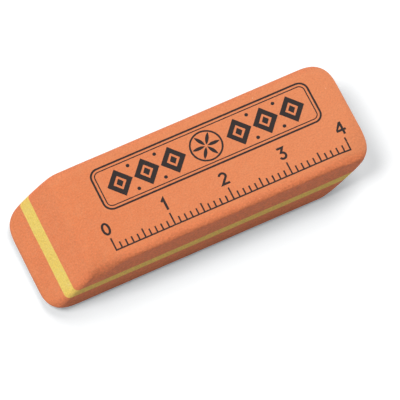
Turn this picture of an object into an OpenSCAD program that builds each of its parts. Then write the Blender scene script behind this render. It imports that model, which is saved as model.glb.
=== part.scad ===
// Combination eraser: a rubber block with bevelled ends, cured from three flat sheets.
// The core sheet shows as a stripe right round the block, and tumbling has rounded every edge.
// Origin: centre of the underside. +X runs along the length and +Z up. All sizes in mm.

/* [Block] */
// Length from one sharp tip to the other
length = 55.5; // [36:0.5:90]
// Width across the two long sides
width = 18.2; // [12:0.1:40]
// Height of the cured block
height = 9.9; // [6:0.1:18]
// Angle between a bevelled end and the flat face it overhangs
bevel = 46; // [40:1:75]

/* [Sheets] */
// Thickness of the core sheet
core_t = 1.55; // [0.6:0.05:4]

/* [Tumbled edges] */
// Radius along the four long edges
long_r = 1.2; // [0.4:0.1:2]
// Radius along the two sharp end edges
nose_r = 0.9; // [0.3:0.1:1.5]
// Radius with which a bevel rolls over into the flat face it leans towards
brow_r = 4; // [1:0.1:12]
// Radius of the four slanted corners at mid-height, seen from above
corner_r = 1; // [0.4:0.1:3]
// Radius that a sharp tip's corners grow to at the flat face, seen from above
tip_r = 8.5; // [2:0.1:9]
// Radius that a blunt end's corners grow to at the flat face, seen from above
blunt_r = 4; // [0.4:0.1:5]
// Height in which that growth falls to about a third
fade_h = 1.1; // [0.4:0.1:2]

/* [Smoothness] */
// Number of rings round each sharp end edge
nose_steps = 6; // [4:1:10]
// Number of rings from there to mid-height
bevel_steps = 9; // [5:1:14]
// Number of facets round each corner of a ring
corner_steps = 8; // [4:1:12]

/* [Hidden] */

orange = [0.91, 0.54, 0.36];
yellow = [0.93, 0.81, 0.41];

// The outer sheets share what the core leaves
outer_t = (height - core_t) / 2;
// How far a cutting slab runs past the block
spare = 1;
// Least straight stretch left between two rounded corners
min_flat = 0.4;
// Above 1, the rings crowd towards the flat faces
crowding = 1.5;

// Side view of a bevelled end, measured from where its slope would meet the base.
// The nose round sits in the sharp corner, and the brow round fills the blunt one
// as far as the bevel leaves it room.
nose_x = nose_r * (1 + cos(bevel)) / sin(bevel);
nose_top = nose_r * (1 + cos(bevel));
brow = min(brow_r, (height - nose_top) / (1 - cos(bevel)));
brow_x = ((height - brow) * cos(bevel) + brow) / sin(bevel);
brow_foot = height - brow * (1 - cos(bevel));

// Half chord of a round of radius r, at a distance d from its centre
function half_chord(r, d) = sqrt(max(0, r * r - d * d));

// Side view: how far in the bevelled end lies at height z
function end_in(z) =
    z < nose_top ? nose_x - half_chord(nose_r, z - nose_r)
    : z > brow_foot ? brow_x - half_chord(brow, z - height + brow)
    : z / tan(bevel);

// The block looks the same after half a turn about its middle, so one end serves both
function left_x(z) = end_in(z) - (nose_x - nose_r) - length / 2;
function right_x(z) = -left_x(height - z);

// Half width at height z, drawn in by the rounds of the long edges
function side_y(z) =
    let (from_face = min(z, height - z))
    width / 2 - (from_face < long_r ? long_r - half_chord(long_r, long_r - from_face) : 0);

// Share of the corner growth that is left at a distance from its flat face
function fade(distance) = exp(-distance / fade_h);

// Corner radius where the sharp tip's face is tip_d away, the blunt edge's is blunt_d away,
// and half the straight run on either side of the corner is room
function plan_r(tip_d, blunt_d, room) =
    min(
        corner_r + (tip_r - corner_r) * fade(tip_d) + (blunt_r - corner_r) * fade(blunt_d),
        room - min_flat / 2
    );

// Quarter turn of radius r about a corner's centre, starting at angle a
function corner(x, y, r, a) =
    [
        for (k = [0 : corner_steps])
            let (t = a + 90 * k / corner_steps)
                [x + r * cos(t), y + r * sin(t)]
    ];

// Outline of the block at height z, anticlockwise seen from above
function ring(z) =
    let (
        y = side_y(z),
        left = left_x(z),
        right = right_x(z),
        room = min(y, (right - left) / 2),
        left_r = plan_r(z, height - z, room),
        right_r = plan_r(height - z, z, room)
    )
    [
        for (p = concat(
            corner(right - right_r, y - right_r, right_r, 0),
            corner(left + left_r, y - left_r, left_r, 90),
            corner(left + left_r, left_r - y, left_r, 180),
            corner(right - right_r, right_r - y, right_r, 270)
        )) [p[0], p[1], z]
    ];

// Ring heights: round the nose, then up the bevel to mid-height, and the same mirrored
nose_z = [for (k = [0 : nose_steps - 1]) nose_r * (1 - cos(90 * k / nose_steps))];
bevel_z = [
    for (k = [0 : bevel_steps - 1]) nose_r + (height / 2 - nose_r) * pow(k / bevel_steps, crowding)
];
low_z = concat(nose_z, bevel_z);
high_z = [for (i = [len(low_z) - 1 : -1 : 0]) height - low_z[i]];
ring_z = concat(low_z, [height / 2], high_z);

// Skin over a stack of rings that all have the same number of points
module loft(stack) {
    n = len(stack[0]);
    base = [for (j = [0 : n - 1]) j];
    lid = [for (j = [n - 1 : -1 : 0]) (len(stack) - 1) * n + j];
    walls = [
        for (i = [0 : len(stack) - 2], j = [0 : n - 1])
            let (a = i * n + j, b = i * n + (j + 1) % n)
                each [[a, a + n, b + n], [a, b + n, b]]
    ];
    polyhedron(points = [for (outline = stack) each outline], faces = concat([base], [lid], walls));
}

// The whole tumbled block, before it is told apart into sheets
module block() {
    loft([for (z = ring_z) ring(z)]);
}

// The part of the block that one sheet fills, between two heights
module sheet(z_from, z_to) {
    intersection() {
        block();
        translate([-length / 2 - spare, -width / 2 - spare, z_from])
            cube([length + 2 * spare, width + 2 * spare, z_to - z_from]);
    }
}

module lower_layer() {
    color(orange) sheet(-spare, outer_t);
}

module core_layer() {
    color(yellow) sheet(outer_t, outer_t + core_t);
}

module upper_layer() {
    color(orange) sheet(outer_t + core_t, height + spare);
}

lower_layer();
core_layer();
upper_layer();
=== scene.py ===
"""Looks of a combination eraser: three rubber sheets cured into one block, and the ink on its top face.

The sheets are lofted with the same formulas as the CAD block, on a much finer grid, with the slight
unevenness that tumbling leaves and the wear along the near upper edge. The print is a generic one,
a centimetre scale and an ornament, laid on the rubber as thin films of ink.
Lengths are in millimetres until a mesh is written, and then in metres.
"""

import math

import bmesh
import bpy
import numpy as np
from mathutils import Matrix, Vector, noise
from mathutils.bvhtree import BVHTree
from mathutils.geometry import delaunay_2d_cdt


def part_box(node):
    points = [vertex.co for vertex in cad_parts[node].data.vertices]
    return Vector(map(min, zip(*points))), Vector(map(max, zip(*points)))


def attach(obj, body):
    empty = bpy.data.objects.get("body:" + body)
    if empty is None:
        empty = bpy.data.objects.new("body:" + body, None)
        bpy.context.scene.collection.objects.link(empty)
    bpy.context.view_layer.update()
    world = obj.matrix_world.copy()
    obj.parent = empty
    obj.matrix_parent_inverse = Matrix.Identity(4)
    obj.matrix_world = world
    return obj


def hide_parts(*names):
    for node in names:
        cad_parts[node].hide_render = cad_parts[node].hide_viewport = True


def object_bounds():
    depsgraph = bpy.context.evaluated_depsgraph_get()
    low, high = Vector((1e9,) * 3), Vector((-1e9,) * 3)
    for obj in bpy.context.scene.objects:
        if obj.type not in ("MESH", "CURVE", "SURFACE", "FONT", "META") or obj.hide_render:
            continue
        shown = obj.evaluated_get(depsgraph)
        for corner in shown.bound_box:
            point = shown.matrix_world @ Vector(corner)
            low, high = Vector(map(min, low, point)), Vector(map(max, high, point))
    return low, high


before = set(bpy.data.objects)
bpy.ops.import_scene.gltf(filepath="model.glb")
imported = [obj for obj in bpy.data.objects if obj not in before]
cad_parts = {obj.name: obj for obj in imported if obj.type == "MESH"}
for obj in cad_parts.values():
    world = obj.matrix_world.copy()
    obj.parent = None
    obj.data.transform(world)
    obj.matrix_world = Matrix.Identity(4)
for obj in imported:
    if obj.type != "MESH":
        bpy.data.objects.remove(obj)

MM = 0.001                   # metres
CM = 10                      # millimetres
CAD_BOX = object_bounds()

# ---------------------------------------------------------------------------------------------
# The block, from the CAD model's box and its edge radii
# ---------------------------------------------------------------------------------------------
LENGTH, WIDTH, HEIGHT = (CAD_BOX[1] - CAD_BOX[0]) / MM
SEAM_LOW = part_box("core_layer")[0].z / MM
SEAM_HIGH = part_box("core_layer")[1].z / MM

BEVEL = math.radians(46)     # between a bevelled end and the flat face that it overhangs
LONG_R = 1.2                 # round of the long edges, but for the near upper one
CRISP_IN = 1.0               # how far in the round of the near upper edge reaches
CRISP_DOWN = 0.65            # and how far down
NOSE_R = 0.9                 # round of the two sharp end edges
BROW_R = 4.0                 # round where a bevel rolls over into the flat face
CORNER_R = 0.8               # slanted corners at mid-height, seen from above
TIP_R = 8.5                  # what a sharp tip's corners grow to at the flat face
BLUNT_R = 4.0                # what a blunt end's corners grow to there
FADE_H = 1.1                 # height in which that growth falls to about a third
BLUNT_FADE = 0.7             # and the same at a blunt end
MIN_FLAT = 0.4               # least straight stretch left between two rounded corners

# The fine grid
END_STEPS = 34               # across half an end
CORNER_STEPS = 18            # round a corner
SIDE_STEPS = 190             # along a long side
OUTER_RINGS = 42             # up the wall of an outer sheet, crowded towards its flat face
CORE_RINGS = 12              # up the edge of the core sheet
CAP_RINGS = 12               # from the rim of a flat face to its middle line
SAME_PLACE = 1e-9            # metres between points that are one and the same
SHARP_FROM = math.radians(35)                # least turn between two faces that isn't shaded smooth

# What tumbling and curing leave uneven
SKIN_DEPTH = 0.012           # how far inside the CAD block the skin lies, so that the ink fits in its box
WAVE_DEPTH, WAVE_SIZE = 0.045, 3.6       # slow waviness of the tumbled walls
DENT_DEPTH, DENT_SIZE = 0.014, 0.9       # fine unevenness on top of it
FACE_FADE = 0.35             # the walls turn even within this height of a flat face
BROW_WORN_IN = 2.8           # how much further in the near upper edge's round reaches beside the brow
BROW_WORN_DOWN = 2.5         # and how much further down
BROW_WORN_AT = 0.6           # where that is most, to the right of the brow's foot
BROW_WORN_REACH = 3.4        # and how far along the edge it falls to about a third
TIP_WORN_IN = 1.0            # the same beside the sharp tip, where it is most at the tip itself
TIP_WORN_DOWN = 0.8
TIP_WORN_REACH = 4.5
SEAM_WAVE, SEAM_SIZE = 0.055, 5.0        # how a seam wanders up and down along the stripe
SEAM_FRET, FRET_SIZE = 0.018, 0.8        # and how ragged it is


def half_chord(radius, distance):
    """Half the chord of a circle at a distance from its centre, and 0 outside it."""
    return np.sqrt(np.maximum(0, radius * radius - distance * distance))


def end_in(z):
    """Side view: how far in from its outermost point a bevelled end lies at height z."""
    nose_x = NOSE_R * (1 + math.cos(BEVEL)) / math.sin(BEVEL)
    nose_top = NOSE_R * (1 + math.cos(BEVEL))
    brow = min(BROW_R, (HEIGHT - nose_top) / (1 - math.cos(BEVEL)))
    brow_x = ((HEIGHT - brow) * math.cos(BEVEL) + brow) / math.sin(BEVEL)
    brow_foot = HEIGHT - brow * (1 - math.cos(BEVEL))
    nose = nose_x - half_chord(NOSE_R, z - NOSE_R)
    rolled = brow_x - half_chord(brow, z - HEIGHT + brow)
    slope = z / math.tan(BEVEL)
    return np.where(z < nose_top, nose, np.where(z > brow_foot, rolled, slope)) - (nose_x - NOSE_R)


def left_x(z):
    return end_in(z) - LENGTH / 2


def right_x(z):
    return -left_x(HEIGHT - z)


def drawn_in(from_face, wide=LONG_R, high=LONG_R):
    """How far the round of a long edge draws the wall in, by the height from the flat face."""
    return wide * (1 - half_chord(1, 1 - np.clip(from_face / high, 0, 1)))


def side_y(z):
    """Half the width at height z, drawn in by the rounds of the long edges."""
    return WIDTH / 2 - drawn_in(np.minimum(z, HEIGHT - z))


def worn_in(x, z):
    """How much further than the other long edges the near upper one is drawn in, or less where it is
    crisper: it has worn rounder beside the left blunt edge and the sharp tip."""
    brow_foot_x = left_x(HEIGHT - BROW_R * (1 - math.cos(BEVEL)))
    brow = np.exp(-((x - brow_foot_x - BROW_WORN_AT) / BROW_WORN_REACH) ** 2)
    tip = np.exp(-((x - LENGTH / 2) / TIP_WORN_REACH) ** 2)
    wide = CRISP_IN + BROW_WORN_IN * brow + TIP_WORN_IN * tip
    high = CRISP_DOWN + BROW_WORN_DOWN * brow + TIP_WORN_DOWN * tip
    return drawn_in(HEIGHT - z, wide, high) - drawn_in(HEIGHT - z)


def plan_r(tip_distance, blunt_distance, room):
    """Corner radius seen from above, by the distances from the sharp tip's face and the blunt edge's."""
    grown_tip = (TIP_R - CORNER_R) * np.exp(-tip_distance / FADE_H)
    grown_blunt = (BLUNT_R - CORNER_R) * np.exp(-blunt_distance / BLUNT_FADE)
    return np.minimum(CORNER_R + grown_tip + grown_blunt, room - MIN_FLAT / 2)


def half_ring_plan():
    """(stretch, share) of each point of half an outline: end, corner, side, corner, end."""
    stretches = (END_STEPS, CORNER_STEPS, SIDE_STEPS, CORNER_STEPS, END_STEPS)
    plan = [(stretch, k / steps) for stretch, steps in enumerate(stretches) for k in range(steps)]
    return plan + [(len(stretches) - 1, 1.0)]


def outline(z):
    """Points of the block's outline, anticlockwise seen from above; the last axis of z runs along it.
    The first point is the middle of the right end, and point -k mirrors point k."""
    plan = half_ring_plan()
    plan += plan[-2:0:-1]
    stretch, share = (np.array(column) for column in zip(*plan))
    turn = share * math.pi / 2
    y, left, right = side_y(z), left_x(z), right_x(z)
    room = np.minimum(y, (right - left) / 2)
    left_r, right_r = plan_r(z, HEIGHT - z, room), plan_r(HEIGHT - z, z, room)
    along = (right - right_r) * (1 - share) + (left + left_r) * share
    xs = np.choose(stretch, [
        right,
        right - right_r * (1 - np.cos(turn)),
        along,
        left + left_r * (1 - np.sin(turn)),
        left,
    ])
    ys = np.choose(stretch, [
        (y - right_r) * share,
        y - right_r * (1 - np.sin(turn)),
        y,
        y - left_r * (1 - np.cos(turn)),
        (y - left_r) * (1 - share),
    ])
    side = np.where(np.arange(len(plan)) < len(plan) // 2 + 1, 1, -1)
    worn = np.where(side < 0, worn_in(xs, z) / y, 0)
    return np.stack([xs, ys * side * (1 - worn), np.broadcast_to(z, xs.shape)], axis=-1)


def noise_at(points, size):
    """Smooth noise from -1 to 1 at each point, with features of about that size."""
    flat = points.reshape(-1, 3) / size
    return np.array([noise.noise(Vector(p)) for p in flat]).reshape(points.shape[:-1])


def seam_height(level):
    """A seam's height at each point of the outline, wandering a little about its level."""
    count = 2 * len(half_ring_plan()) - 2
    path = outline(np.full(count, level))
    return level + SEAM_WAVE * noise_at(path, SEAM_SIZE) + SEAM_FRET * noise_at(path, FRET_SIZE)


def outward(skin):
    """Unit normals of a grid of rings, straight down on its first ring and straight up on its last."""
    along = np.roll(skin, -1, axis=1) - np.roll(skin, 1, axis=1)
    up = np.gradient(skin, axis=0)
    normals = np.cross(along, up)
    normals /= np.linalg.norm(normals, axis=-1, keepdims=True)
    normals[0], normals[-1] = (0, 0, -1), (0, 0, 1)
    return normals


def tumbled_skin():
    """The whole wall of the block as rings of points, from the bottom face up to the top face."""
    low, high = seam_height(SEAM_LOW), seam_height(SEAM_HIGH)
    climb = (np.arange(OUTER_RINGS + 1) / OUTER_RINGS)[:, None]
    core = (np.arange(1, CORE_RINGS) / CORE_RINGS)[:, None]
    z = np.concatenate([
        low * climb ** 2,
        low + (high - low) * core,
        HEIGHT - (HEIGHT - high) * climb[::-1] ** 2,
    ])
    skin = outline(z)
    even = 1 - np.exp(-np.minimum(z, HEIGHT - z) / FACE_FADE)
    waves = WAVE_DEPTH * (1 + noise_at(skin, WAVE_SIZE)) / 2
    dents = DENT_DEPTH * (1 + noise_at(skin, DENT_SIZE)) / 2
    depth = SKIN_DEPTH + even * (waves + dents)
    return skin - outward(skin) * depth[..., None]


def cap_rings(rim):
    """Rings from a rim inwards, down to points on the block's middle line that both sides share."""
    reach = np.abs(rim[:, 1]).max()
    across = np.roll(rim[::-1], 1, axis=0)
    spine = np.stack([
        np.clip((rim[:, 0] + across[:, 0]) / 2, rim[:, 0].min() + reach, rim[:, 0].max() - reach),
        np.zeros(len(rim)),
        np.full(len(rim), rim[:, 2].mean()),
    ], axis=-1)
    shares = np.arange(1, CAP_RINGS + 1) / CAP_RINGS
    return [rim * (1 - share) + spine * share for share in shares]


def ring_faces(first, second, count):
    """Quads between two rings that start at these indices, facing out where the second is above."""
    pairs = [(k, (k + 1) % count) for k in range(count)]
    return [(first + a, first + b, second + b, second + a) for a, b in pairs]


def new_object(name, points, faces):
    """A mesh object from points in millimetres: equal points joined, shaded smooth but for its corners."""
    mesh = bpy.data.meshes.new(name)
    mesh.from_pydata([tuple(p) for p in np.asarray(points) * MM], [], faces)
    work = bmesh.new()
    work.from_mesh(mesh)
    bmesh.ops.remove_doubles(work, verts=work.verts, dist=SAME_PLACE)
    bmesh.ops.recalc_face_normals(work, faces=work.faces)
    work.to_mesh(mesh)
    work.free()
    mesh.validate()
    mesh.shade_smooth()
    mesh.set_sharp_from_angle(angle=SHARP_FROM)
    piece = bpy.data.objects.new(name, mesh)
    bpy.context.scene.collection.objects.link(piece)
    return piece


def sheet(name, node, skin, material):
    """One sheet: its rings of the tumbled skin, and a face below and above."""
    count = skin.shape[1]
    lower_cap, upper_cap = cap_rings(skin[0]), cap_rings(skin[-1])
    rings = lower_cap[::-1] + list(skin) + upper_cap
    faces = []
    for k in range(len(rings) - 1):
        faces += ring_faces(k * count, (k + 1) * count, count)
    piece = new_object(name, np.concatenate(rings), faces)
    piece.data.materials.append(material)
    piece.visible_diffuse = False            # it throws none of its colour onto the floor
    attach(piece, "root")
    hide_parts(node)
    return piece


# ---------------------------------------------------------------------------------------------
# Materials
# ---------------------------------------------------------------------------------------------
MIX_A, MIX_B, MIX_RESULT = 6, 7, 2           # the colour sockets of a mix node, whose names repeat

# The rubber
CLOUD_SIZE, CLOUD_DEEP = 4.5, 0.30           # uneven mixing, and the most of the deep colour in it
DUST_SIZE, DUST_PALE = 1.3, 0.40             # powder, and the most of the pale colour in it
TINT_SIZE, TINT_PALE = 0.21, 0.45            # the finest mottle, and the same
GRAIN_SIZE = 0.26                            # fine grain
GRAIN_DARK, GRAIN_LIGHT = 0.87, 1.10         # how much darker and lighter the grain turns the rubber
REFLECTION_FROM_X, REFLECTION_TO_X = -18.0, 26.0         # along the block, where the painted reflection of the right soft box begins and is strongest
END_REFLECTION_PALE = 0.42                              # and the share of the pale colour that paints it there
RIM_SHEEN_FROM_SIDE, RIM_SHEEN_TO_SIDE = 2.2, 0.5        # from the far wall, where the painted sheen along its edges begins and is whole
RIM_SHEEN_FROM_FACE, RIM_SHEEN_TO_FACE = 1.4, 0.4        # the same from a flat face
RIM_SHEEN_PALE = 0.70                              # and the most of the pale colour that paints that sheen there
WALL_FROM, WALL_TO = 1.5, 0.6                # how far inside the long walls their painted shade and painted grazing-light grain begin and are whole
WALL_SHADE_DEEP = 0.45                             # share of the deep colour there: painted shade
WALL_GRAIN_SIZE = 0.40                       # the coarser grain there, painted as grain looks in grazing light
WALL_DARK, WALL_LIGHT = 0.91, 1.15           # how much darker and lighter that painted grazing-light grain turns the rubber
PIT_SPACING, PIT_R, PIT_SHARE = 1.1, 0.12, 0.25          # the share is that of the places with a pit
FILLER_SPACING, FILLER_R, FILLER_SHARE = 1.6, 0.11, 0.20
SPECK_CORE = 0.6                             # share of a speck's radius inside which it is whole
SPECK_TINT = 0.60                            # how strongly a pit or a speck of filler is coloured
ROUGH_LOW, ROUGH_HIGH = 0.80, 0.92
RELIEF_SIZE, RELIEF_DEPTH = 0.36, 0.11       # the grain that can be felt
CLOUD_DEPTH, PIT_DEPTH, GRAIN_DEPTH = 0.05, 0.030, 0.015
GLOSS, SHEEN, SHEEN_ROUGH = 0.4, 0.07, 0.45

# The ink
MOTTLE_SIZE, PORE_SIZE = 0.45, 0.16
PORE_SHOWS = 0.40                            # how much of the rubber shows in a pore
INK_ROUGH_LOW, INK_ROUGH_HIGH = 0.55, 0.70
INK_RELIEF_SIZE, INK_RELIEF_DEPTH = 0.32, 0.012
INK_GLOSS = 0.18


def rgb(red, green, blue):
    return (red, green, blue, 1.0)


# Each rubber's plain, deep and pale colour
ORANGE = (rgb(0.80, 0.227, 0.081), rgb(0.73, 0.190, 0.074), rgb(0.82, 0.295, 0.130))
YELLOW = (rgb(0.84, 0.62, 0.12), rgb(0.84, 0.52, 0.10), rgb(0.88, 0.70, 0.22))
FILLER_COLOUR = rgb(0.90, 0.64, 0.44)
INK_BLACK, INK_BROWN = rgb(0.012, 0.009, 0.009), rgb(0.026, 0.016, 0.014)
PORE_COLOUR = rgb(0.30, 0.10, 0.05)


class Nodes:
    """A small helper that adds nodes to a material and links them."""

    def __init__(self, name):
        self.material = bpy.data.materials.new(name)
        self.material.use_nodes = True
        self.tree = self.material.node_tree
        self.shader = self.tree.nodes["Principled BSDF"]

    def add(self, kind, inputs=None, **settings):
        """A new node with these settings, its inputs by name or number."""
        node = self.tree.nodes.new(kind)
        for key, value in settings.items():
            setattr(node, key, value)
        for key, value in (inputs or {}).items():
            self.feed(node.inputs[key], value)
        return node

    def feed(self, socket, value):
        """Link an output to the socket, or set a plain value."""
        if isinstance(value, bpy.types.NodeSocket):
            self.tree.links.new(value, socket)
        else:
            socket.default_value = value

    def position(self):
        """Object coordinates in millimetres."""
        place = self.add("ShaderNodeTexCoord").outputs["Object"]
        scaled = self.add("ShaderNodeVectorMath", {0: place}, operation="SCALE")
        scaled.inputs["Scale"].default_value = 1 / MM
        return scaled.outputs[0]

    def noise(self, place, size, detail=2.0, roughness=0.5):
        """Noise from 0 to 1 with features of about that size in millimetres."""
        inputs = {"Vector": place, "Scale": 1 / size, "Detail": detail, "Roughness": roughness}
        return self.add("ShaderNodeTexNoise", inputs).outputs["Fac"]

    def span(self, value, low, high, to_low=0.0, to_high=1.0):
        """Value from low..high to to_low..to_high, held at the ends."""
        inputs = {"Value": value, "From Min": low, "From Max": high, "To Min": to_low, "To Max": to_high}
        return self.add("ShaderNodeMapRange", inputs).outputs["Result"]

    def maths(self, operation, a, b=0.0):
        return self.add("ShaderNodeMath", {0: a, 1: b}, operation=operation).outputs[0]

    def mix(self, share, a, b):
        """Colour a with a share of colour b."""
        node = self.add("ShaderNodeMix", data_type="RGBA")
        self.feed(node.inputs["Factor"], share)
        self.feed(node.inputs[MIX_A], a)
        self.feed(node.inputs[MIX_B], b)
        return node.outputs[MIX_RESULT]

    def scaled(self, colour, share):
        """The colour, darker or lighter by a share."""
        node = self.add("ShaderNodeVectorMath", {0: colour}, operation="SCALE")
        self.feed(node.inputs["Scale"], share)
        return node.outputs[0]

    def specks(self, place, spacing, radius, share):
        """1 inside sparse round specks: this share of the cells of a Voronoi pattern holds one each."""
        cell = self.add("ShaderNodeTexVoronoi", {"Vector": place, "Scale": 1 / spacing})
        near = self.span(cell.outputs["Distance"], radius / spacing, SPECK_CORE * radius / spacing)
        chance = self.add("ShaderNodeSeparateColor", {"Color": cell.outputs["Color"]}).outputs[0]
        chosen = self.maths("LESS_THAN", chance, share)
        return self.maths("MULTIPLY", near, chosen)

    def bump(self, height, depth, normal=None):
        """Surface normal over a height from 0 to 1 that stands for a depth in millimetres."""
        node = self.add("ShaderNodeBump", {"Height": height, "Distance": depth * MM})
        if normal is not None:
            self.feed(node.inputs["Normal"], normal)
        return node.outputs[0]


def rubber(name, plain, deep, pale):
    """Matte, powdery cured rubber: unevenly mixed, finely grained, with pits and pale specks of filler."""
    # Its colour also holds painted light: the right soft box's reflection, a sheen on the far rims, and
    # shade and grazing-lit grain on the long walls.
    n = Nodes(name)
    place = n.position()
    clouds = n.noise(place, CLOUD_SIZE, detail=3.0)
    dust = n.noise(place, DUST_SIZE, detail=4.0, roughness=0.65)
    grain = n.noise(place, GRAIN_SIZE, detail=2.0, roughness=0.6)
    tint = n.noise(place, TINT_SIZE, detail=1.0)
    wall_grazing_grain = n.noise(place, WALL_GRAIN_SIZE, detail=2.0, roughness=0.6)
    relief = n.noise(place, RELIEF_SIZE, detail=0.5)
    pits = n.specks(place, PIT_SPACING, PIT_R, PIT_SHARE)
    filler = n.specks(place, FILLER_SPACING, FILLER_R, FILLER_SHARE)

    # Painted light: the right soft box's reflection paints the block pale to the right; the long walls get
    # painted shade and grazing-light grain; the far edges get a painted sheen, with dust
    axes = n.add("ShaderNodeSeparateXYZ", {0: place}).outputs
    wall = n.span(n.maths("ABSOLUTE", axes["Y"]), WIDTH / 2 - WALL_FROM, WIDTH / 2 - WALL_TO)
    not_wall = n.maths("SUBTRACT", 1.0, wall)
    painted_end_reflection = n.maths("MULTIPLY", n.span(axes["X"], REFLECTION_FROM_X, REFLECTION_TO_X, 0.0, END_REFLECTION_PALE), not_wall)
    far_side = n.span(axes["Y"], WIDTH / 2 - RIM_SHEEN_FROM_SIDE, WIDTH / 2 - RIM_SHEEN_TO_SIDE, 0.0, RIM_SHEEN_PALE)
    from_middle = n.maths("ABSOLUTE", n.maths("SUBTRACT", axes["Z"], HEIGHT / 2))
    near_face = n.span(from_middle, HEIGHT / 2 - RIM_SHEEN_FROM_FACE, HEIGHT / 2 - RIM_SHEEN_TO_FACE)
    dusty_rim_sheen = n.maths("MULTIPLY", far_side, near_face)

    shade = n.mix(n.span(clouds, 0.35, 0.65, 0.0, CLOUD_DEEP), plain, deep)
    # painted reflection: the right soft box's reflection, painted paler towards the right end and kept off
    # the long walls
    shade = n.mix(painted_end_reflection, shade, pale)
    shade = n.mix(n.span(dust, 0.45, 0.75, 0.0, DUST_PALE), shade, pale)
    # painted sheen: a pale rim along the far edges only, broken up by the dust noise
    shade = n.mix(n.maths("MULTIPLY", dusty_rim_sheen, n.span(dust, 0.3, 0.6, 0.3, 1.0)), shade, pale)
    shade = n.mix(n.span(tint, 0.35, 0.70, 0.0, TINT_PALE), shade, pale)
    # painted shade: the long walls turn towards the deep colour
    shade = n.mix(n.maths("MULTIPLY", wall, WALL_SHADE_DEEP), shade, deep)
    shade = n.mix(n.maths("MULTIPLY", filler, SPECK_TINT), shade, FILLER_COLOUR)
    shade = n.mix(n.maths("MULTIPLY", pits, SPECK_TINT), shade, deep)
    shade = n.scaled(shade, n.span(grain, 0.25, 0.75, GRAIN_DARK, GRAIN_LIGHT))
    # painted grazing light: the coarser grain on the long walls, darker and lighter
    wall_dark = n.span(wall, 0.0, 1.0, 1.0, WALL_DARK)
    wall_light = n.span(wall, 0.0, 1.0, 1.0, WALL_LIGHT)
    shade = n.scaled(shade, n.span(wall_grazing_grain, 0.3, 0.7, wall_dark, wall_light))
    n.feed(n.shader.inputs["Base Color"], shade)
    n.feed(n.shader.inputs["Roughness"], n.span(grain, 0.3, 0.7, ROUGH_LOW, ROUGH_HIGH))

    normal = n.bump(clouds, CLOUD_DEPTH)
    normal = n.bump(relief, RELIEF_DEPTH, normal)
    normal = n.bump(n.maths("SUBTRACT", 1.0, pits), PIT_DEPTH, normal)
    n.feed(n.shader.inputs["Normal"], n.bump(grain, GRAIN_DEPTH, normal))
    n.shader.inputs["Specular IOR Level"].default_value = GLOSS
    n.shader.inputs["Sheen Weight"].default_value = SHEEN
    n.shader.inputs["Sheen Roughness"].default_value = SHEEN_ROUGH
    return n.material


def ink(name):
    """Stamped ink: nearly black, a little mottled, with pores and the rubber's grain under it."""
    n = Nodes(name)
    place = n.position()
    mottle = n.noise(place, MOTTLE_SIZE, detail=3.0)
    pores = n.noise(place, PORE_SIZE, detail=2.0)
    relief = n.noise(place, INK_RELIEF_SIZE, detail=3.0)
    shade = n.mix(n.span(mottle, 0.35, 0.65), INK_BLACK, INK_BROWN)
    shade = n.mix(n.span(pores, 0.66, 0.78, 0.0, PORE_SHOWS), shade, PORE_COLOUR)
    n.feed(n.shader.inputs["Base Color"], shade)
    n.feed(n.shader.inputs["Roughness"], n.span(mottle, 0.3, 0.7, INK_ROUGH_LOW, INK_ROUGH_HIGH))
    n.feed(n.shader.inputs["Normal"], n.bump(relief, INK_RELIEF_DEPTH))
    n.shader.inputs["Specular IOR Level"].default_value = INK_GLOSS
    return n.material


# ---------------------------------------------------------------------------------------------
# The print
# ---------------------------------------------------------------------------------------------
INK_ABOVE = 0.009            # the film's upper face over the rubber, still inside the CAD box
INK_BELOW = 0.008            # its lower face, sunk into the rubber
INK_STEP = 0.22              # longest straight piece of an outline
INK_WOBBLE, WOBBLE_SIZE = 0.022, 0.35    # how ragged a stamped edge is

PRINT_X = float(left_x(HEIGHT) + right_x(HEIGHT)) / 2       # middle of the flat top face

SCALE_CM = 4                 # length of the printed scale, in centimetres
SCALE_Y = -7.1               # its base line
RULE = 0.25                  # thickness of its lines
TICKS = {CM: 2.2, 5: 1.65, 1: 1.15}       # tick heights by the step in millimetres that they mark
DIGIT_H, DIGIT_W = 2.25, 1.4
DIGIT_PEN = 0.38             # thickness of a number's lines
DIGIT_GAP = 0.55             # between a tick and its number

BAND_Y = 3.0                 # middle line of the ornament
FRAME_W, FRAME_H = 37.4, 7.6
FRAME_R = 1.6
FRAME_LINES = {0.0: 0.32, 0.64: 0.18}    # thickness of its lines by their distance inside its edge
ROSE_R = 2.4
RING_PEN = 0.30              # thickness of the ring round the rose
PETALS = 6
PETAL_AT, PETAL_SCALE = 0.53, 0.90           # a petal's middle, in radii of the rose, and its size
LOZENGES = 3                 # on either side of the rose
LOZENGE_W, LOZENGE_H = 4.3, 4.9
LOZENGE_PEN = 0.82
LOZENGE_MITRE = 1.45         # at its upper and lower points the line is so many times as thick
LOZENGE_GAP = 0.25           # between two of them
ROSE_GAP = 0.95              # between the rose and the nearest
HEART_LESS = 1.0             # how much smaller than its hole the lozenge's heart is
DOT_R = 0.30
MITRE_LEAST = 0.35           # keeps a mitre short at a sharp turn: half a pen over this at most
RING_STEPS, DOT_STEPS, BEND_STEPS = 72, 16, 10           # straight pieces of a ring, a dot and a bend
OTHER_NOISE = Vector((0.0, 0.0, 9.7))        # where the noise that pushes along Y is taken from
ALL_IN_RIMS = 1                              # kind of triangulation: everything inside the outer rims
SAME_POINT = 1e-7                            # millimetres between rim points that count as one


def arc(x, y, radius_x, radius_y, start, end, steps):
    """Points on an elliptic arc about (x, y), with its angles in degrees."""
    angles = np.radians(np.linspace(start, end, steps + 1))
    return [(x + radius_x * math.cos(a), y + radius_y * math.sin(a)) for a in angles]


def closed_arc(x, y, radius_x, radius_y, steps=48):
    return arc(x, y, radius_x, radius_y, 0, 360, steps)[:-1]


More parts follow.
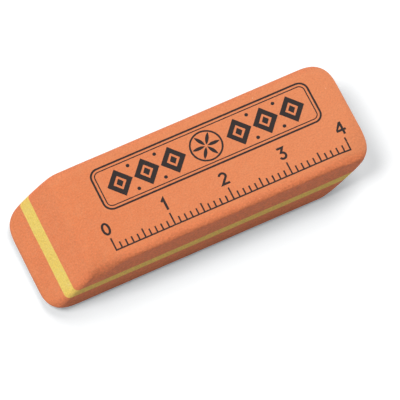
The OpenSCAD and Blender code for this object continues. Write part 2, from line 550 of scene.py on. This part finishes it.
def rounded_rectangle(width, height, radius):
    """Outline about the origin, anticlockwise."""
    points = []
    for k, (sx, sy) in enumerate(((1, 1), (-1, 1), (-1, -1), (1, -1))):
        x, y = sx * (width / 2 - radius), sy * (height / 2 - radius)
        points += arc(x, y, radius, radius, 90 * k, 90 * k + 90, BEND_STEPS)
    return points


def moved(points, x, y):
    return [(px + x, py + y) for px, py in points]


def turned(points, angle):
    cos, sin = math.cos(angle), math.sin(angle)
    return [(x * cos - y * sin, x * sin + y * cos) for x, y in points]


def lozenge(width, height):
    return [(width / 2, 0), (0, height / 2), (-width / 2, 0), (0, -height / 2)]


def stroke(path, pen):
    """Outline of a pen line along an open path, mitred at its corners."""
    spots = [Vector(p) for p in path]
    left, right = [], []
    for k, point in enumerate(spots):
        before = (point - spots[k - 1]).normalized() if k else None
        after = (spots[k + 1] - point).normalized() if k + 1 < len(spots) else None
        before, after = before or after, after or before
        across = (before + after).normalized().orthogonal()
        reach = pen / 2 / max(MITRE_LEAST, across.dot(after.orthogonal()))
        left.append(tuple(point + across * reach))
        right.append(tuple(point - across * reach))
    return right + left[::-1]


def digit(value):
    """Loops of a plain numeral from 0 to 4 about the origin, DIGIT_W by DIGIT_H, outer loop first."""
    w, h, pen = (DIGIT_W - DIGIT_PEN) / 2, (DIGIT_H - DIGIT_PEN) / 2, DIGIT_PEN
    if value == 0:
        half = pen / 2
        return [closed_arc(0, 0, w + half, h + half), closed_arc(0, 0, w - half, h - half)[::-1]]
    if value == 1:
        return [stroke([(-0.75 * w, 0.5 * h), (0.15 * w, h), (0.15 * w, -h - pen / 2)], pen)]
    if value == 2:
        bowl = arc(0, h - w, w, w, 165, -40, 18)
        return [stroke(bowl + [(-w, -h), (w + pen / 2, -h)], pen)]
    if value == 3:
        bowl = arc(0, -h + 1.05 * w, w, 1.05 * w, 78, -160, 20)
        return [stroke([(-w, h), (0.9 * w, h), (-0.1 * w, 0.18 * h)] + bowl, pen)]
    # 4, with its triangular hole
    stem, foot, bar = 0.35 * w, -h - pen / 2, -0.35 * h
    tip = h + pen / 2
    outer = [
        (stem, foot), (stem + pen, foot), (stem + pen, bar - pen / 2), (w + pen, bar - pen / 2),
        (w + pen, bar + pen / 2), (stem + pen, bar + pen / 2), (stem + pen, tip), (stem, tip),
        (-w - pen / 2, bar + pen / 2), (-w - pen / 2, bar - pen / 2), (stem, bar - pen / 2),
    ]
    hole = [(stem, bar + pen / 2), (-w + 0.45 * pen, bar + pen / 2), (stem, tip - 1.7 * pen)]
    return [outer, hole]


def scale_comb():
    """The scale's base line with its ticks, as one outline."""
    length = CM * SCALE_CM
    points = [(-RULE / 2, -RULE / 2), (length + RULE / 2, -RULE / 2)]
    for mark in range(length, -1, -1):
        height = next(h for step, h in TICKS.items() if mark % step == 0)
        right, left = mark + RULE / 2, mark - RULE / 2
        points += [(right, RULE / 2), (right, height), (left, height), (left, RULE / 2)]
    points.pop()                             # the first and the last tick have no foot on the outside
    del points[2]
    return points


def rose_petal(angle):
    """One leaf of the compass rose: where two circles through the middle overlap, made a little smaller."""
    half = 180 / PETALS
    side = arc(0, 0, ROSE_R, ROSE_R, -half, half, BEND_STEPS)
    bow = [(x - ROSE_R * math.cos(math.radians(half)), y) for x, y in side]
    leaf = bow + [(-x, y) for x, y in bow[-2:0:-1]]
    placed = [(PETAL_AT * ROSE_R + PETAL_SCALE * y, PETAL_SCALE * x) for x, y in leaf]
    return turned(placed, math.radians(angle))


def scale_shapes():
    """The centimetre scale with its numbers."""
    start = PRINT_X - CM * SCALE_CM / 2
    shapes = [[moved(scale_comb(), start, SCALE_Y)]]
    number_y = SCALE_Y + TICKS[CM] + DIGIT_GAP + DIGIT_H / 2
    for cm in range(SCALE_CM + 1):
        shapes.append([moved(loop, start + CM * cm, number_y) for loop in digit(cm)])
    return shapes


def frame_shapes():
    """The ornament's thin double frame."""
    shapes = []
    for inset, line in FRAME_LINES.items():
        loops = []
        for d in (inset, inset + line):
            loops.append(rounded_rectangle(FRAME_W - 2 * d, FRAME_H - 2 * d, FRAME_R - d))
        shapes.append([moved(loops[0], PRINT_X, BAND_Y), moved(loops[1][::-1], PRINT_X, BAND_Y)])
    return shapes


def ornament_shapes():
    """A compass rose in a ring, with a row of lozenges on either side and dots between them."""
    ring_r = ROSE_R + RING_PEN
    ring = [
        closed_arc(0, 0, ring_r, ring_r, RING_STEPS),
        closed_arc(0, 0, ROSE_R, ROSE_R, RING_STEPS)[::-1],
    ]
    shapes = [ring] + [[rose_petal(360 * k / PETALS)] for k in range(PETALS)]
    inner_w = LOZENGE_W - 2 * LOZENGE_PEN * LOZENGE_W / LOZENGE_H * LOZENGE_MITRE
    inner_h = inner_w * LOZENGE_H / LOZENGE_W
    heart = lozenge(inner_w - HEART_LESS, inner_h - HEART_LESS)
    for side in (-1, 1):
        for k in range(LOZENGES):
            x = side * (ROSE_R + ROSE_GAP + (k + 0.5) * (LOZENGE_W + LOZENGE_GAP))
            shapes.append([
                moved(lozenge(LOZENGE_W, LOZENGE_H), x, 0),
                moved(lozenge(inner_w, inner_h)[::-1], x, 0),
            ])
            shapes.append([moved(heart, x, 0)])
        for k in range(1, LOZENGES):
            x = side * (ROSE_R + ROSE_GAP + k * (LOZENGE_W + LOZENGE_GAP))
            for y in (-1, 1):
                shapes.append([closed_arc(x, y * (LOZENGE_H / 2 - DOT_R), DOT_R, DOT_R, DOT_STEPS)])
    return [[moved(loop, PRINT_X, BAND_Y) for loop in shape] for shape in shapes]


def ragged(loop):
    """The loop in short steps, with each of its points pushed a little out of place."""
    points = []
    for k, corner in enumerate(loop):
        start, end = Vector(corner), Vector(loop[(k + 1) % len(loop)])
        steps = max(1, math.ceil((end - start).length / INK_STEP))
        points += [start.lerp(end, s / steps) for s in range(steps)]
    found = []
    for p in points:
        spot = p.to_3d() / WOBBLE_SIZE
        push = Vector((noise.noise(spot), noise.noise(spot + OTHER_NOISE)))
        found.append(p + INK_WOBBLE * push)
    return found


def encloses(loop, spot):
    """Whether the loop goes round the spot: a line from there to +X crosses it an odd number of times."""
    inside = False
    for k, start in enumerate(loop):
        end = loop[(k + 1) % len(loop)]
        if (start.y > spot.y) != (end.y > spot.y):
            crossing_x = start.x + (end.x - start.x) * (spot.y - start.y) / (end.y - start.y)
            inside ^= crossing_x > spot.x
    return inside


def rims(loops):
    """The edges of all the loops as pairs of point numbers, counted on from loop to loop."""
    edges, first = [], 0
    for loop in loops:
        edges += [(first + k, first + (k + 1) % len(loop)) for k in range(len(loop))]
        first += len(loop)
    return edges


def top_of(piece):
    """A function from a place seen from above to the height of the piece there, both in millimetres."""
    mesh = piece.data
    tree = BVHTree.FromPolygons([v.co for v in mesh.vertices], [p.vertices for p in mesh.polygons])
    above, down = Vector((0, 0, 2 * HEIGHT)), Vector((0, 0, -1))
    return lambda place: tree.ray_cast((place.to_3d() + above) * MM, down)[0].z / MM


def film(name, shapes, material, ground):
    """A thin closed film of ink on the ground for each shape, an outer loop and those of its holes."""
    points, faces = [], []
    for shape in shapes:
        loops = [ragged(loop) for loop in shape]
        flat = [p for loop in loops for p in loop]
        edges = rims(loops)
        foot, top = len(points), len(points) + len(flat)
        heights = [ground(p) for p in flat]
        points += [(p.x, p.y, z - INK_BELOW) for p, z in zip(flat, heights)]
        points += [(p.x, p.y, z + INK_ABOVE) for p, z in zip(flat, heights)]
        for a, b, c in delaunay_2d_cdt(flat, edges, [], ALL_IN_RIMS, SAME_POINT)[2]:
            middle = (flat[a] + flat[b] + flat[c]) / 3
            if not any(encloses(hole, middle) for hole in loops[1:]):
                faces += [(top + a, top + b, top + c), (foot + c, foot + b, foot + a)]
        faces += [(foot + a, foot + b, top + b, top + a) for a, b in edges]
    piece = new_object(name, points, faces)
    piece.data.materials.append(material)
    piece.visible_diffuse = False            # as for the sheets
    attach(piece, "root")


# ---------------------------------------------------------------------------------------------
# Stage: floor, light and camera
# ---------------------------------------------------------------------------------------------
FLOOR_HALF = 300.0           # from the middle to an edge
FLOOR_BOUNCE = (0.80, 0.76, 0.79)            # its colour to the light that it sends on
FOOT_SHADE_SHARE, FOOT_REACH = 0.10, 4.2            # painted shade: share of that colour left at the block, deepening the shade at its foot, and how far off it is whole
FLOOR_SEEN = rgb(0.95, 0.95, 0.95)           # its colour to the camera
FLOOR_LIFT = rgb(0.20, 0.205, 0.21)          # what it glows with to the camera, so that it looks white
CAMERA_AZIMUTH = math.radians(-25.38)
CAMERA_ELEVATION = math.radians(65.45)
CAMERA_DISTANCE = 641.0
CAMERA_ASIDE, CAMERA_ABOVE = 1.88, -0.06     # where the camera's axis passes the origin
LENS, SENSOR = 368.0, 36.0
CLIP_NEAR, CLIP_FAR = 0.05, 20               # metres

LAMP_DISTANCE = 1.2                          # metres
LAMPS = {                                    # the way to each one, its width in metres and its level
    "left_box": (Vector((-0.42, 0.04, 1.0)), 0.55, 0.46),
    "right_box": (Vector((0.51, 0.43, 1.0)), 0.82, 0.40),
    "left_card": (Vector((-4.0, 0.0, 1.0)), 0.42, 0.065),
    "right_card": (Vector((4.0, 0.0, 1.0)), 0.42, 0.035),
}
SKY_LEVEL = 0.04             # what the even light adds to a white level surface
SKY_COLOUR = rgb(0.98, 1.0, 1.02)


def is_seen(tree):
    """1 where the camera sees a surface, also in gloss or through glass, and 0 where it only lights."""
    path = tree.nodes.new("ShaderNodeLightPath")
    seen = path.outputs["Is Camera Ray"]
    for other in ("Is Glossy Ray", "Is Transmission Ray"):
        both = tree.nodes.new("ShaderNodeMath")
        both.operation = "MAXIMUM"
        tree.links.new(seen, both.inputs[0])
        tree.links.new(path.outputs[other], both.inputs[1])
        seen = both.outputs[0]
    return seen


def make_floor():
    """Pale floor, white to the camera where nothing shades it. Near the block it sends less light on:
    painted shade for the block's foot.
    """
    ways = ((-1, -1), (1, -1), (1, 1), (-1, 1))
    corners = [(x * FLOOR_HALF, y * FLOOR_HALF, 0) for x, y in ways]
    floor = new_object("floor", corners, [(0, 1, 2, 3)])
    n = Nodes("floor_white")
    tree, nodes = n.tree, n.tree.nodes
    nodes.remove(n.shader)
    seen = is_seen(tree)
    sides = n.add("ShaderNodeSeparateXYZ", {0: n.position()}).outputs
    past_end = n.maths("SUBTRACT", n.maths("ABSOLUTE", sides["X"]), LENGTH / 2)
    past_side = n.maths("SUBTRACT", n.maths("ABSOLUTE", sides["Y"]), WIDTH / 2)
    # painted shade: the colour the floor sends light on with darkens towards the block
    painted_foot_shade = n.span(n.maths("MAXIMUM", past_end, past_side), 0.0, FOOT_REACH, FOOT_SHADE_SHARE, 1.0)
    bounce = n.scaled(FLOOR_BOUNCE, painted_foot_shade)
    body = n.add("ShaderNodeBsdfDiffuse", {"Color": n.mix(seen, bounce, FLOOR_SEEN)})
    lift = n.add("ShaderNodeEmission", {"Color": FLOOR_LIFT, "Strength": seen})
    both = n.add("ShaderNodeAddShader")
    tree.links.new(body.outputs[0], both.inputs[0])
    tree.links.new(lift.outputs[0], both.inputs[1])
    tree.links.new(both.outputs[0], nodes["Material Output"].inputs["Surface"])
    floor.data.materials.append(n.material)


def make_world():
    """Faint even light from all round, and plain white to the camera."""
    world = bpy.data.worlds.new("studio")
    world.use_nodes = True
    nodes, links = world.node_tree.nodes, world.node_tree.links
    level = nodes.new("ShaderNodeMapRange")
    level.inputs["To Min"].default_value = SKY_LEVEL
    level.inputs["To Max"].default_value = 1.0
    links.new(is_seen(world.node_tree), level.inputs["Value"])
    sky = nodes["Background"]
    sky.inputs["Color"].default_value = SKY_COLOUR
    links.new(level.outputs["Result"], sky.inputs["Strength"])
    bpy.context.scene.world = world


def make_lamp(name, towards, size, level):
    """A round soft box that adds its level to a white level surface at the origin."""
    lamp = bpy.data.lights.new(name, "AREA")
    lamp.shape = "DISK"
    lamp.size = size
    direction = towards.normalized()
    spread = 1 + (size / 2 / LAMP_DISTANCE) ** 2
    lamp.energy = level * spread * math.pi ** 2 * LAMP_DISTANCE ** 2 / direction.z
    holder = bpy.data.objects.new(name, lamp)
    holder.location = direction * LAMP_DISTANCE
    holder.rotation_euler = direction.to_track_quat("Z", "Y").to_euler()
    holder.visible_camera = False
    bpy.context.scene.collection.objects.link(holder)


def make_camera():
    """The photograph's viewpoint, with no lens shift."""
    a, e = CAMERA_AZIMUTH, CAMERA_ELEVATION
    right = Vector((math.cos(a), math.sin(a), 0))
    back = Vector((math.sin(a) * math.cos(e), -math.cos(a) * math.cos(e), math.sin(e)))
    up = back.cross(right)
    data = bpy.data.cameras.new("camera")
    data.lens, data.sensor_width = LENS, SENSOR
    data.clip_start, data.clip_end = CLIP_NEAR, CLIP_FAR
    camera = bpy.data.objects.new("camera", data)
    turn = Matrix((right, up, back)).transposed().to_4x4()
    place = (right * CAMERA_ASIDE + up * CAMERA_ABOVE + back * CAMERA_DISTANCE) * MM
    camera.matrix_world = Matrix.Translation(place) @ turn
    bpy.context.scene.collection.objects.link(camera)
    bpy.context.scene.camera = camera


# ---------------------------------------------------------------------------------------------
# Everything together
# ---------------------------------------------------------------------------------------------
make_camera()
make_world()
for lamp_name, (towards, size, level) in LAMPS.items():
    make_lamp(lamp_name, towards, size, level)
make_floor()
bpy.context.scene.view_settings.view_transform = "Standard"

orange = rubber("orange_rubber", *ORANGE)
yellow = rubber("yellow_rubber", *YELLOW)
black = ink("print_ink")

block = tumbled_skin()
first_seam, second_seam = OUTER_RINGS, OUTER_RINGS + CORE_RINGS
sheet("lower_sheet", "lower_layer", block[:first_seam + 1], orange)
sheet("core_sheet", "core_layer", block[first_seam:second_seam + 1], yellow)
upper = sheet("upper_sheet", "upper_layer", block[second_seam:], orange)

ground = top_of(upper)
film("scale_print", scale_shapes(), black, ground)
film("frame_print", frame_shapes(), black, ground)
film("ornament_print", ornament_shapes(), black, ground)
